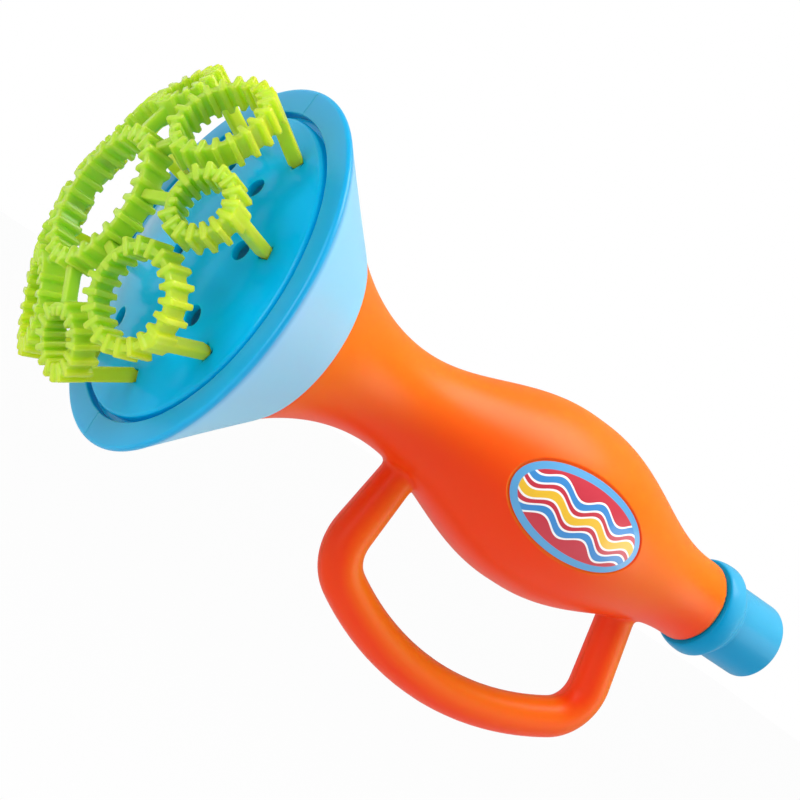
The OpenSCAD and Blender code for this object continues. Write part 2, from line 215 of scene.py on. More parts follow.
def pull(bm, ring, offset, thinner):
    """Draws the end ring of the handle's tube straight on, thinner by a factor."""
    edges = [e for e in ring if isinstance(e, bmesh.types.BMEdge)]
    drawn = bmesh.ops.extrude_edge_only(bm, edges=edges)["geom"]
    verts = [v for v in drawn if isinstance(v, bmesh.types.BMVert)]
    bmesh.ops.translate(bm, verts=verts, vec=offset)
    middle = sum((v.co for v in verts), Vector()) / len(verts)
    bmesh.ops.scale(bm, verts=verts, vec=(thinner, thinner, thinner), space=Matrix.Translation(-middle))


def bend(bm, ring, centre, angle, steps):
    """Bends the end ring of the handle's tube on round a centre in the handle's plane."""
    spun = bmesh.ops.spin(bm, geom=ring, cent=centre, axis=(0, -1, 0), angle=angle, steps=steps)
    return [g for g in spun["geom_last"] if not isinstance(g, bmesh.types.BMFace)]


horn = bmesh.new()
turned(horn, outer + inner, horn_sides)
handle = bmesh.new()
bmesh.ops.create_circle(
    handle, segments=handle_sides, radius=handle_r * mm,
    matrix=Matrix.Translation(front_end) @ Matrix.Rotation(front_post_lean, 4, "Y"))
first_ring = handle.verts[:] + handle.edges[:]
ring = bend(handle, first_ring, front_mid, pi / 2 - grip_front_slope + front_post_lean, front_corner_steps)
ring = bend(handle, ring, grip_mid, grip_front_slope + grip_rear_slope, grip_steps)
ring = bend(handle, ring, rear_mid, pi / 2 - grip_rear_slope + rear_post_lean, rear_corner_steps)
front_rise = front_run - horn_radius(front_post_station) + root_depth
pull(handle, first_ring, -front_rise * front_down, 1 - front_root_taper / handle_r * front_rise / front_run)
rear_rise = rear_run - (horn_radius(-rear_end.x / mm + rear_root_ahead) - root_depth) / cos(rear_post_lean)
pull(handle, ring, rear_rise * rear_up, 1 - rear_root_taper / handle_r * rear_rise / rear_run)
bmesh.ops.holes_fill(handle, edges=handle.edges[:], sides=0)
bmesh.ops.recalc_face_normals(handle, faces=handle.faces)
handle_mesh = bpy.data.meshes.new("handle")
handle.to_mesh(handle_mesh)
handle.free()
horn.from_mesh(handle_mesh)
bpy.data.meshes.remove(handle_mesh)
horn = blended("horn", horn, horn_voxel, horn_passes)

# The left half has a shallow oval recess with a soft edge, which the label is stuck in.
label_length = 49.0
label_height = 25.2
label_station = 106.4
label_rise = 0.75
label_recess = 0.5
recess_start = -0.15
recess_end = 0.85
recess_margin = 1.0
recess_finer = 3


def past_label(co):
    """Millimetres from the label's oval out to a point on the horn's left skin, or None elsewhere."""
    along_x, up = co.x / mm + label_station, co.z / mm - label_rise
    skin_r = horn_radius(-co.x / mm)
    if co.y > 0 or abs(along_x) > label_length or hypot(co.y, co.z) / mm < skin_r - horn_wall / 2:
        return None
    reach = hypot(along_x / label_length * 2, up / label_height * 2)
    return hypot(along_x, up) * (1 - 1 / reach) if reach > 0 else -label_height / 2


edge_band = []
for e in horn.edges:
    past = [past_label(v.co) for v in e.verts]
    if None in past or max(past) < recess_start - recess_margin or min(past) > recess_end + recess_margin:
        continue
    edge_band.append(e)
bmesh.ops.subdivide_edges(horn, edges=edge_band, cuts=recess_finer, use_grid_fill=True)
for v in horn.verts:
    past = past_label(v.co)
    if past is not None and past < recess_end:
        sunk = 1 - max((past - recess_start) / (recess_end - recess_start), 0)
        sunk = label_recess * sunk * sunk * (3 - 2 * sunk)
        inward = Vector((0, -v.co.y, -v.co.z)).normalized()
        v.co += inward * sunk * mm


def value_socket(group, name, kind, way, default=None):
    """Adds an input or an output to a node group."""
    socket = group.interface.new_socket(name=name, in_out=way, socket_type=kind)
    if default is not None:
        socket.default_value = default


# Skin of moulded plastic: a slow drift of tone, a painted highlight tone where it faces up and towards the
# mouth end, the sides the lamps light, a little unevenness of gloss and a faint mould grain.
painted_light_way = (0.72, -0.14, 0.68)
skin = bpy.data.node_groups.new("moulded_skin_with_painted_light", "ShaderNodeTree")
value_socket(skin, "Tone", "NodeSocketColor", "INPUT", (0.8, 0.8, 0.8, 1))
value_socket(skin, "Deep Tone", "NodeSocketColor", "INPUT", (0.5, 0.5, 0.5, 1))
value_socket(skin, "Painted Light Tone", "NodeSocketColor", "INPUT", (0.8, 0.8, 0.8, 1))
value_socket(skin, "Gloss", "NodeSocketFloat", "INPUT", 0.25)
value_socket(skin, "Grain", "NodeSocketFloat", "INPUT", 0.05)
value_socket(skin, "Color", "NodeSocketColor", "OUTPUT")
value_socket(skin, "Roughness", "NodeSocketFloat", "OUTPUT")
value_socket(skin, "Normal", "NodeSocketVector", "OUTPUT")
add = skin.nodes.new
ins = add("NodeGroupInput")
outs = add("NodeGroupOutput")
place = add("ShaderNodeTexCoord")
drift = add("ShaderNodeTexNoise")
drift.inputs["Scale"].default_value = 22
drift.inputs["Detail"].default_value = 3
grain = add("ShaderNodeTexNoise")
grain.inputs["Scale"].default_value = 900
grain.inputs["Detail"].default_value = 2
blend_tones = add("ShaderNodeMix")
blend_tones.data_type = "RGBA"
spread = add("ShaderNodeMapRange")
spread.inputs["From Min"].default_value = 0.35
spread.inputs["From Max"].default_value = 0.75
spread.inputs["To Max"].default_value = 0.35
# Painted light: the painted highlight tone takes over as the surface turns towards the lamp-lit way.
facing = add("ShaderNodeVectorMath")
facing.operation = "DOT_PRODUCT"
facing.inputs[1].default_value = painted_light_way
painted_light_share = add("ShaderNodeMapRange")
painted_light_share.interpolation_type = "SMOOTHSTEP"
painted_light_share.inputs["From Min"].default_value = -0.35
painted_light_share.inputs["From Max"].default_value = 0.7
painted_light_blend = add("ShaderNodeMix")
painted_light_blend.data_type = "RGBA"
uneven = add("ShaderNodeMath")
uneven.operation = "MULTIPLY_ADD"
uneven.inputs[1].default_value = 0.08
bump = add("ShaderNodeBump")
bump.inputs["Distance"].default_value = 0.0002
link = skin.links.new
link(place.outputs["Object"], drift.inputs["Vector"])
link(place.outputs["Object"], grain.inputs["Vector"])
link(drift.outputs["Fac"], spread.inputs["Value"])
link(spread.outputs["Result"], blend_tones.inputs["Factor"])
link(ins.outputs["Tone"], blend_tones.inputs["A"])
link(ins.outputs["Deep Tone"], blend_tones.inputs["B"])
link(place.outputs["Normal"], facing.inputs[0])
link(facing.outputs["Value"], painted_light_share.inputs["Value"])
link(painted_light_share.outputs["Result"], painted_light_blend.inputs["Factor"])
link(blend_tones.outputs["Result"], painted_light_blend.inputs["A"])
link(ins.outputs["Painted Light Tone"], painted_light_blend.inputs["B"])
link(painted_light_blend.outputs["Result"], outs.inputs["Color"])
link(drift.outputs["Fac"], uneven.inputs[0])
link(ins.outputs["Gloss"], uneven.inputs[2])
link(uneven.outputs["Value"], outs.inputs["Roughness"])
link(grain.outputs["Fac"], bump.inputs["Height"])
link(ins.outputs["Grain"], bump.inputs["Strength"])
link(bump.outputs["Normal"], outs.inputs["Normal"])


def shade(hex_colour):
    """Scene colour of a colour written as red, green and blue hex digits."""
    parts = [int(hex_colour[i:i + 2], 16) / 255 for i in (0, 2, 4)]
    return tuple(c / 12.92 if c <= 0.04045 else ((c + 0.055) / 1.055) ** 2.4 for c in parts) + (1.0,)


def moulded(name, tone, deep_tone, painted_light_tone, gloss, grain_depth):
    """A plastic with the moulded skin and its painted highlight tone on the lamp-lit sides; gives the
    material, its skin and its shader.
    """
    material = bpy.data.materials.new(name)
    material.use_nodes = True
    nodes = material.node_tree.nodes
    shader = nodes["Principled BSDF"]
    skin_node = nodes.new("ShaderNodeGroup")
    skin_node.node_tree = skin
    skin_node.inputs["Tone"].default_value = shade(tone)
    skin_node.inputs["Deep Tone"].default_value = shade(deep_tone)
    skin_node.inputs["Painted Light Tone"].default_value = shade(painted_light_tone)
    skin_node.inputs["Gloss"].default_value = gloss
    skin_node.inputs["Grain"].default_value = grain_depth
    for output, socket in (("Color", "Base Color"), ("Roughness", "Roughness"), ("Normal", "Normal")):
        material.node_tree.links.new(skin_node.outputs[output], shader.inputs[socket])
    return material, skin_node, shader


def glowing(shader, weight, radius, depth):
    """Lets light run some millimetres deep under a plastic's surface, each colour a share of that."""
    shader.inputs["Subsurface Weight"].default_value = weight
    shader.inputs["Subsurface Radius"].default_value = radius
    shader.inputs["Subsurface Scale"].default_value = depth * mm


# Painted light: the painted highlight tone FC7A06 turns the lamp-lit sides yellow-orange; the rest keeps the
# red-orange tone.
orange, _, orange_shader = moulded(
    "orange_plastic", tone="F6420A", deep_tone="F03C08", painted_light_tone="FC7A06", gloss=0.34, grain_depth=0.04)
glowing(orange_shader, weight=0.4, radius=(1.0, 0.12, 0.03), depth=2)
orange_shader.inputs["Specular IOR Level"].default_value = 0.18
for side, hand in ((-1, "left"), (1, "right")):
    shell = horn.copy()
    keep_half(shell, side, seam_gap)
    piece = mesh_piece("horn_shell_" + hand, shell, horn_crease)
    piece.data.materials.append(orange)
    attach(piece, "horn")
    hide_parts("body_" + hand, "handle_" + hand)
horn.free()

# Bell shells
# The bell is two injection-moulded blue halves, glued over the horn's spigot and round the face plate's
# flange. Its cone is a pale blue that runs softly into the stronger cyan of the rounded rim.
bell_depth = 31.5
bell_front = flare_end + bell_depth
bell_step = 0.3
bell_wall = 2.6
rim_r = 52.7
rim_edge_r = 1.1
rim_setback = 0.2
rim_round_start = radians(-50)
rim_round_end = radians(86)
cone_bow = 0.03
plate_r = 43.9
plate_wall = 2.0
groove_width = 1.4
flange_width = 3.0
lip_depth = 2.7
lip_r = plate_r + groove_width
lip_round = 0.5
rim_station = bell_front - rim_setback - rim_edge_r
edge_round = 12
small_end_round = 0.3
small_end_turn = -0.3
small_end_steps = 6
lip_steps = 5
sleeve_lead = 0.5
bell_spigot_length = 5.8
bell_sides = 160
bell_seam_gap = 0.12


def rounding(radius, station, bend_r, start, end, steps=edge_round):
    """Points of a round edge as (radius, station), centred there, from one angle to another."""
    angles = [start + (end - start) * i / steps for i in range(steps + 1)]
    return [(radius + bend_r * cos(a), station + bend_r * sin(a)) for a in angles]


rim_edge = rounding(rim_r - rim_edge_r, rim_station, rim_edge_r, rim_round_start, rim_round_end)
cone_start_r = flare_r + bell_step
cone_steps = 16
cone = []
for i in range(cone_steps):
    f = i / cone_steps
    grown = f * (1 - cone_bow) + f * f * cone_bow
    cone.append((cone_start_r + (rim_edge[0][0] - cone_start_r) * grown,
                 flare_end + (rim_edge[0][1] - flare_end) * f))
small_end = rounding(cone_start_r - small_end_round, flare_end + small_end_round, small_end_round,
                     -pi / 2, small_end_turn, small_end_steps)
flange_front = bell_front - lip_depth
flange_back = flange_front - plate_wall
back_lip = flange_back - plate_wall
slot_r = plate_r + flange_width
bell_outline = [(flare_r - horn_wall, flare_end)] + small_end + cone[1:] + rim_edge
bell_outline += rounding(lip_r + lip_round, bell_front - lip_round, lip_round, pi / 2, pi, lip_steps)
bell_outline += [(lip_r, flange_front), (slot_r, flange_front), (slot_r, flange_back),
                 (plate_r - plate_wall, flange_back), (plate_r - plate_wall, back_lip)]
bell_outline += [(r - bell_wall, s) for r, s in reversed(cone[2:-2])]
bell_outline += [(flare_r - horn_wall + sleeve_lead, flare_end + bell_spigot_length),
                 (flare_r - horn_wall, flare_end + bell_spigot_length)]

# Painted light: the painted highlight tone 96D8FF lightens the sides of the bell that face the lamps.
bell_blue, bell_skin, bell_shader = moulded(
    "bell_blue", tone="8CD6FF", deep_tone="80CEFC", painted_light_tone="96D8FF", gloss=0.3, grain_depth=0.03)
glowing(bell_shader, weight=0.6, radius=(0.6, 0.7, 0.6), depth=6)
bell_shader.inputs["Specular IOR Level"].default_value = 0.35


def tinted_along(material, skin_node, shader, start, end, tint):
    """Runs a plastic's colour into a tint from one station to another."""
    nodes = material.node_tree.nodes
    link = material.node_tree.links.new
    place = nodes.new("ShaderNodeTexCoord")
    axes = nodes.new("ShaderNodeSeparateXYZ")
    share = nodes.new("ShaderNodeMapRange")
    share.interpolation_type = "SMOOTHSTEP"
    share.inputs["From Min"].default_value = -start * mm
    share.inputs["From Max"].default_value = -end * mm
    blend = nodes.new("ShaderNodeMix")
    blend.data_type = "RGBA"
    blend.inputs["B"].default_value = shade(tint)
    link(place.outputs["Object"], axes.inputs["Vector"])
    link(axes.outputs["X"], share.inputs["Value"])
    link(share.outputs["Result"], blend.inputs["Factor"])
    link(skin_node.outputs["Color"], blend.inputs["A"])
    link(blend.outputs["Result"], shader.inputs["Base Color"])


rim_tint_start = rim_station - 3.2
rim_tint_end = rim_station + 0.5
tinted_along(bell_blue, bell_skin, bell_shader, rim_tint_start, rim_tint_end, "00A0D4")
for side, hand in ((-1, "left"), (1, "right")):
    shell = bmesh.new()
    turned(shell, bell_outline, bell_sides)
    keep_half(shell, side, bell_seam_gap)
    piece = mesh_piece("bell_shell_" + hand, shell)
    piece.data.materials.append(bell_blue)
    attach(piece, "horn")
    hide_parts("bell_" + hand)

# Face plate
# A domed cyan disc, moulded thin, with its flange caught in the bell's rim. Round vents let the air out
# behind each bubble ring, and narrow slots take the pegs of the ring's legs.
dome_rise = 7.3
dome_edge_drop = 0.1
dome_edge = bell_front - dome_edge_drop
dome_edge_r = 1.2
dome_r = (plate_r ** 2 + dome_rise ** 2) / (2 * dome_rise)
plate_sides = 128
vent_r = 2.75
vent_sides = 48
vent_circle_r = 25.5
peg_thick = 2.6
peg_clearance = 0.3
leg_width = 2.9
leg_thick = 3.9
head_turn = 18.5
petal_count = 8
petal_pitch = 360 / petal_count
small_foot_share = 0.772
large_foot_share = 0.854
small_foot_out = small_foot_share * plate_r
large_foot_out = large_foot_share * plate_r
cut_depth = 12.0
vent_cut_rise = 3.0
slot_cut_rise = 2.0
sliver = 0.03
hole_crease = radians(60)
hole_margin = 1.0
hole_reach = 0.3
hole_round = 0.25


def dome_at(out):
    """Station of the dome's face at a distance from the horn's axis."""
    return dome_edge + dome_rise - dome_r + sqrt(dome_r ** 2 - out ** 2)


edge_in = plate_r - dome_edge_r
dome_steps = 36
plate_outline = [(edge_in * i / dome_steps, dome_at(edge_in * i / dome_steps))
                 for i in range(1, dome_steps + 1)]
plate_outline += rounding(edge_in, dome_at(edge_in) - dome_edge_r, dome_edge_r, pi / 2, 0)[1:]
plate_outline += [(plate_r, flange_front), (slot_r, flange_front), (slot_r, flange_back),
                  (plate_r - plate_wall, flange_back)]
under_r = plate_r - plate_wall
plate_outline += [(under_r * i / dome_steps, dome_at(under_r * i / dome_steps) - plate_wall)
                  for i in range(dome_steps, 0, -1)]
plate = bmesh.new()
turned(plate, plate_outline, plate_sides)
bmesh.ops.holes_fill(plate, edges=plate.edges[:], sides=0)
bmesh.ops.recalc_face_normals(plate, faces=plate.faces)
plate_piece = mesh_piece("face_plate_cyan", plate)

# The head's own X points up and its own Z forward, out of the bell.
head_frame = Matrix(((0, 0, -1, 0), (0, 1, 0, 0), (1, 0, 0, 0), (0, 0, 0, 1)))


def on_head(turn, out, station):
    """Place on the head at a turn in degrees, a distance from the axis and a station."""
    turned_frame = head_frame @ Matrix.Rotation(radians(turn), 4, "Z")
    return turned_frame @ Matrix.Translation((out * mm, 0, station * mm))


cutters = bmesh.new()
vent_places = [on_head(0, 0, bell_front + vent_cut_rise)]
for i in range(petal_count):
    vent_places.append(on_head(head_turn + petal_pitch * i, vent_circle_r, bell_front + vent_cut_rise))
for spot in vent_places:
    bmesh.ops.create_cone(cutters, cap_ends=True, segments=vent_sides, radius1=vent_r * mm,
                          radius2=vent_r * mm, depth=cut_depth * mm, matrix=spot)
for i in range(petal_count):
    foot_out = large_foot_out if i % 2 else small_foot_out
    slot_size = Matrix.Diagonal(((peg_thick + 2 * peg_clearance) * mm, (leg_width + 2 * peg_clearance) * mm,
                                 cut_depth * mm, 1))
    slot_place = on_head(head_turn + petal_pitch * i, foot_out, bell_front + slot_cut_rise)
    bmesh.ops.create_cube(cutters, size=1, matrix=slot_place @ slot_size)
cutter_piece = mesh_piece("plate_cutters", cutters)
punch = plate_piece.modifiers.new("punch", "BOOLEAN")
punch.operation = "DIFFERENCE"
punch.solver = "EXACT"
punch.object = cutter_piece
plate = settled(plate_piece)
bpy.data.objects.remove(cutter_piece)
bmesh.ops.remove_doubles(plate, verts=plate.verts, dist=sliver * mm)
bmesh.ops.dissolve_degenerate(plate, edges=plate.edges, dist=sliver * mm)
hole_edges = [e for e in plate.edges if len(e.link_faces) == 2 and e.calc_face_angle() > hole_crease
              and e.verts[0].co.yz.length < (edge_in - hole_margin) * mm
              and -e.verts[0].co.x > (dome_at(e.verts[0].co.yz.length / mm) - hole_reach) * mm]
bmesh.ops.bevel(plate, geom=hole_edges, offset=hole_round * mm, offset_type="OFFSET", affect="EDGES",
                segments=2, profile=0.5, material=-1, clamp_overlap=True)
face_plate = mesh_piece("face_plate_cyan", plate)
# Painted light: the painted highlight tone 00B6F0 lightens the sides of the plate that face the lamps a
# little.
cyan, _, cyan_shader = moulded(
    "cyan_plastic", tone="00B2EE", deep_tone="00A8E6", painted_light_tone="00B6F0", gloss=0.08, grain_depth=0.02)
glowing(cyan_shader, weight=0.5, radius=(0.1, 0.7, 1.0), depth=4)
cyan_shader.inputs["Specular IOR Level"].default_value = 0.14
face_plate.data.materials.append(cyan)
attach(face_plate, "horn")
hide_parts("face_plate")

# Side label
# A printed oval film with a pale blue border, stuck in its recess on the left side of the bulge.
# Its print is a plain set of waves, blue and yellow with white edges, on red.
label_inset = 0.3
label_border = 2.0
label_lift = -0.12
label_thick = 0.3
label_rings = 14
label_sides = 96
disc_weld = 0.0001
hub_limit = 0.5
wave_pitch = 15.0
wave_height = 1.5
ink_edge = 0.12
border_edge = 0.03
past_border = 9.0
white_ink = "FFFFFF"
blue_ink = "3B8FD6"
yellow_ink = "F7C531"
border_ink = "5CA8DE"
side_wave = 4.6
stripes = ((side_wave, 1.5, white_ink), (side_wave, 0.9, blue_ink),
           (0.0, 1.7, white_ink), (0.0, 1.1, yellow_ink),
           (-side_wave, 1.5, white_ink), (-side_wave, 0.9, blue_ink))


def label_point(along_x, up, lift):
    """Point of the label above the horn's skin; along_x and up are millimetres from its middle."""
    station = label_station - along_x
    height = label_rise + up
    radius = horn_radius(station) + lift
    return Vector((-station * mm, -sqrt(radius ** 2 - height ** 2) * mm, height * mm))


label = bmesh.new()
spoke = [label.verts.new((i / label_rings, 0, 0)) for i in range(1, label_rings + 1)]
spoke += [label.edges.new((spoke[i], spoke[i + 1])) for i in range(label_rings - 1)]
bmesh.ops.spin(label, geom=spoke, cent=(0, 0, 0), axis=(0, 0, 1),
               angle=tau, steps=label_sides, use_merge=True)
bmesh.ops.remove_doubles(label, verts=label.verts, dist=disc_weld)
hub = [e for e in label.edges if e.is_boundary and e.verts[0].co.length < hub_limit]
bmesh.ops.holes_fill(label, edges=hub, sides=0)
half_length = label_length / 2 - label_inset
half_height = label_height / 2 - label_inset
for v in label.verts:
    v.co = label_point(v.co.x * half_length, v.co.y * half_height, label_lift)
bmesh.ops.recalc_face_normals(label, faces=label.faces)
if sum((f.normal.y * f.calc_area() for f in label.faces)) > 0:
    bmesh.ops.reverse_faces(label, faces=label.faces)
bmesh.ops.solidify(label, geom=label.faces[:], thickness=label_thick * mm)
label_piece = mesh_piece("side_label_film", label)
# Painted light: the painted highlight tone D23446 lightens the lamp-facing side of the print's red a little.
film, film_skin, film_shader = moulded(
    "printed_film", tone="CF3042", deep_tone="C02A3E", painted_light_tone="D23446", gloss=0.3, grain_depth=0.02)
film_shader.inputs["Coat Weight"].default_value = 0.25
nodes = film.node_tree.nodes
link = film.node_tree.links.new


def maths(operation, first, second=None):
    """A Math node on two inputs, each a socket or a number."""
    node = nodes.new("ShaderNodeMath")
    node.operation = operation
    for socket, value in zip(node.inputs, (first, second)):
        if value is None:
            continue
        if isinstance(value, (int, float)):
            socket.default_value = value
        else:
            link(value, socket)
    return node.outputs["Value"]


def band(value, low, high, soft):
    """Mask that is 1 between two values, with soft edges."""
    node = nodes.new("ShaderNodeMapRange")
    node.interpolation_type = "SMOOTHSTEP"
    link(value, node.inputs["Value"])
    node.inputs["From Min"].default_value = low - soft
    node.inputs["From Max"].default_value = low
    top = nodes.new("ShaderNodeMapRange")
    top.interpolation_type = "SMOOTHSTEP"
    link(value, top.inputs["Value"])
    top.inputs["From Min"].default_value = high
    top.inputs["From Max"].default_value = high + soft
    return maths("MULTIPLY", node.outputs["Result"], maths("SUBTRACT", 1, top.outputs["Result"]))


def printed(under, ink, mask):
    """Prints an ink colour over a colour through a mask."""
    node = nodes.new("ShaderNodeMix")
    node.data_type = "RGBA"
    link(mask, node.inputs["Factor"])
    link(under, node.inputs["A"])
    node.inputs["B"].default_value = shade(ink)
    return node.outputs["Result"]


place = nodes.new("ShaderNodeTexCoord")
axes = nodes.new("ShaderNodeSeparateXYZ")
link(place.outputs["Object"], axes.inputs["Vector"])
along = maths("DIVIDE", maths("ADD", axes.outputs["X"], label_station * mm), mm)
up = maths("SUBTRACT", maths("DIVIDE", axes.outputs["Z"], mm), label_rise)
wave = maths("MULTIPLY", maths("SINE", maths("MULTIPLY", along, tau / wave_pitch)), wave_height)
height = maths("SUBTRACT", up, wave)
print_colour = film_skin.outputs["Color"]
for middle, half, ink in stripes:
    print_colour = printed(print_colour, ink, band(height, middle - half, middle + half, ink_edge))
across = maths("POWER", maths("DIVIDE", along, half_length - label_border), 2)
tall = maths("POWER", maths("DIVIDE", up, half_height - label_border), 2)
border = band(maths("ADD", across, tall), 1.0, past_border, border_edge)
print_colour = printed(print_colour, border_ink, border)
link(print_colour, film_shader.inputs["Base Color"])
label_piece.data.materials.append(film)
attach(label_piece, "horn")
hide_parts("side_label")

# Mouthpiece
# A sky-blue moulded tube with a rounded mouth end and a soft collar, pushed on to the horn's spigot
# until its lip meets the end of the neck.
mouthpiece_length = 30.3
mouth_tube_r = 12.5
mouth_tube_length = 19.4
mouth_edge_r = 1.9
collar_r = 15.5
collar_lip_r = 14.0
collar_round = 5.4
socket_r = 10.85
socket_floor = 18.3
collar_station = mouthpiece_length - collar_round
bore_edge_r = 0.6
bore_edge_steps = 5
mouth_sides = 128
mouth_crease = 50
mouth_outline = rounding(mouth_bore_r + bore_edge_r, bore_edge_r, bore_edge_r, pi, 1.5 * pi, bore_edge_steps)
mouth_outline += rounding(mouth_tube_r - mouth_edge_r, mouth_edge_r, mouth_edge_r, -pi / 2, 0)
collar_rise = 16
for i in range(collar_rise):
    f = i / collar_rise
    mouth_outline.append((mouth_tube_r + (collar_r - mouth_tube_r) * ease(f),
                          mouth_tube_length + (collar_station - mouth_tube_length) * f))
for i in range(edge_round + 1):
    a = pi / 2 * i / edge_round
    mouth_outline.append((collar_lip_r + (collar_r - collar_lip_r) * cos(a),
                          collar_station + collar_round * sin(a)))
mouth_outline += [(socket_r, mouthpiece_length), (socket_r, socket_floor), (mouth_bore_r, socket_floor)]
mouthpiece = bmesh.new()
turned(mouthpiece, mouth_outline, mouth_sides)
mouth_piece = mesh_piece("mouthpiece_sky", mouthpiece, mouth_crease)
# Painted light: the painted highlight tone 48B0DA makes the lamp-lit side of the tube paler than its shaded
# side.
sky, _, sky_shader = moulded(
    "sky_plastic", tone="0098CC", deep_tone="0090C4", painted_light_tone="48B0DA", gloss=0.24, grain_depth=0.04)
glowing(sky_shader, weight=0.1, radius=(0.2, 0.6, 1.0), depth=3)
sky_shader.inputs["Specular IOR Level"].default_value = 0.12
mouth_piece.data.materials.append(sky)
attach(mouth_piece, "mouthpiece")
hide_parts("mouthpiece")

# Bubble rings
# The head is translucent lime plastic: toothed petal rings, large and small in turn, each on a leg that
# plugs into the face plate, linked to a crown ring in front. The fins hold the bubble film.
fin_width = 1.6
fin_depth = 7.6
fin_reach = 1.5
fin_proud = 0.7
ring_wall = 1.8
leg_slope = 28
peg_tail = 1.6
arm_width = 2.6
arm_depth = 3.4
crown_share = 0.4
crown_r = crown_share * plate_r
crown_height = 30.0
crown_fins = 24
large_ring_share = 0.276
large_ring_r = large_ring_share * plate_r
large_out_share = 0.774
large_ring_out = large_out_share * plate_r
large_ring_height = 22.7
large_ring_tilt = radians(26)
large_fins = 20
small_ring_share = 0.185
small_ring_r = small_ring_share * plate_r
small_out_share = 0.797
small_ring_out = small_out_share * plate_r
small_ring_height = 22.8
small_ring_tilt = radians(29)
small_fins = 16
ring_steps = 72
fin_soft = 0.3
leg_soft = 0.5
peg_soft = 0.3
arm_soft = 0.4
ring_voxel = 0.32
ring_passes = 2
ring_crease = 180
# Painted light: the painted highlight tone DAE626 turns the lamp-lit sides of the rings yellower than their
# shaded sides.
lime, lime_skin, lime_shader = moulded(
    "lime_translucent", tone="CAE22C", deep_tone="BEDE34", painted_light_tone="DAE626", gloss=0.22, grain_depth=0.03)
glowing(lime_shader, weight=1.0, radius=(0.7, 1.0, 0.25), depth=9)
lime_shader.inputs["Transmission Weight"].default_value = 0.12
lime_shader.inputs["Specular IOR Level"].default_value = 0.3
# Painted shade: the lime runs into a darker green AEDC3E towards the crown ring at the front, while the ends
# near the plate stay yellow as if lit through.
crown_painted_shade_start = bell_front + 14
crown_painted_shade_end = bell_front + 30
tinted_along(lime, lime_skin, lime_shader, crown_painted_shade_start, crown_painted_shade_end, "AEDC3E")


def bar(bm, size, matrix, soft):
    """A bar with rounded edges, of a size in millimetres, at a place."""
    lump = bmesh.ops.create_cube(bm, size=1, matrix=matrix @ Matrix.Diagonal((*(s * mm for s in size), 1)))
    edges = {e for v in lump["verts"] for e in v.link_edges}
    bmesh.ops.bevel(bm, geom=list(edges), offset=soft * mm, offset_type="OFFSET", affect="EDGES", segments=3,
                    profile=0.5, material=-1, clamp_overlap=True)


def toothed_ring(bm, place, radius, fins, clear):
    """Toothed ring about its own Z axis; its fins cross its wall, but some beside -X stop inside it."""
    depth = (fin_depth - 2 * fin_proud) / 2
    low, high = radius - ring_wall / 2, radius + ring_wall / 2
    corners = ((low, -depth), (high, -depth), (high, depth), (low, depth))
    verts = [bm.verts.new(place @ Vector((r * mm, 0, z * mm))) for r, z in corners]
    edges = [bm.edges.new((verts[i - 1], verts[i])) for i in range(len(verts))]
    bmesh.ops.spin(bm, geom=verts + edges, cent=place.translation, axis=place.to_3x3() @ Vector((0, 0, 1)),
                   angle=tau, steps=ring_steps, use_merge=True)
    for i in range(fins):
        turn = Matrix.Rotation(pi + tau * (i + 0.5) / fins, 4, "Z")
        end = radius if i < clear or i >= fins - clear else high + fin_reach
        length = end - low + fin_reach
        middle = Matrix.Translation(((end - length / 2) * mm, 0, 0))
        bar(bm, (length, fin_width, fin_depth), place @ turn @ middle, fin_soft)


def petal(name, turn, radius, fins, out, height, tilt, foot_out):
    """One petal ring with its leg, its peg and its arm to the crown ring, melted into one moulding."""
    bm = bmesh.new()
    toothed_ring(bm, on_head(turn, out, bell_front + height) @ Matrix.Rotation(tilt, 4, "Y"), radius, fins, 1)
    start = dome_at(foot_out) + peg_clearance
    top = bell_front + height - radius * sin(tilt) + (fin_depth / 2 - fin_proud) * cos(tilt)
    length = (top - start) / cos(radians(leg_slope))
    foot = on_head(turn, foot_out, start)
    lean = Matrix.Rotation(radians(leg_slope), 4, "Y")
    leg_middle = Matrix.Translation((0, 0, length / 2 * mm))
    bar(bm, (leg_thick, leg_width, length), foot @ lean @ leg_middle, leg_soft)
    peg_length = plate_wall + peg_tail + peg_clearance + leg_thick / 2
    peg_middle = Matrix.Translation((0, 0, (leg_thick / 2 - peg_length / 2) * mm))
    bar(bm, (peg_thick, leg_width, peg_length), foot @ peg_middle, peg_soft)
    arm_start = crown_r + ring_wall / 2
    run = out - radius * cos(tilt) - arm_start
    drop = crown_height - height - radius * sin(tilt)
    slope = Matrix.Rotation(atan2(drop, run), 4, "Y")
    arm_length = hypot(run, drop)
    arm_place = on_head(turn, arm_start, bell_front + crown_height) @ slope
    arm_middle = Matrix.Translation((arm_length / 2 * mm, 0, 0))
    bar(bm, (arm_length, arm_width, arm_depth), arm_place @ arm_middle, arm_soft)
    bmesh.ops.recalc_face_normals(bm, faces=bm.faces)
    return blended(name, bm, ring_voxel, ring_passes)


petal_kinds = (
    ("large_petal", head_turn + petal_pitch, large_ring_r, large_fins, large_ring_out, large_ring_height,
     large_ring_tilt, large_foot_out),
    ("small_petal", head_turn, small_ring_r, small_fins, small_ring_out, small_ring_height,
     small_ring_tilt, small_foot_out))
for kind, *ring_sizes in petal_kinds:
    ring_mesh = petal(kind, *ring_sizes)
    for i in range(petal_count // 2):
        copy = ring_mesh.copy()
        bmesh.ops.rotate(copy, verts=copy.verts, cent=(0, 0, 0), matrix=Matrix.Rotation(-i * pi / 2, 3, "X"))
        piece = mesh_piece(f"{kind}_lime_{i + 1}", copy, ring_crease)
        piece.data.materials.append(lime)
        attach(piece, "bubble_head")
        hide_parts(f"{kind}_{i + 1}")
    ring_mesh.free()

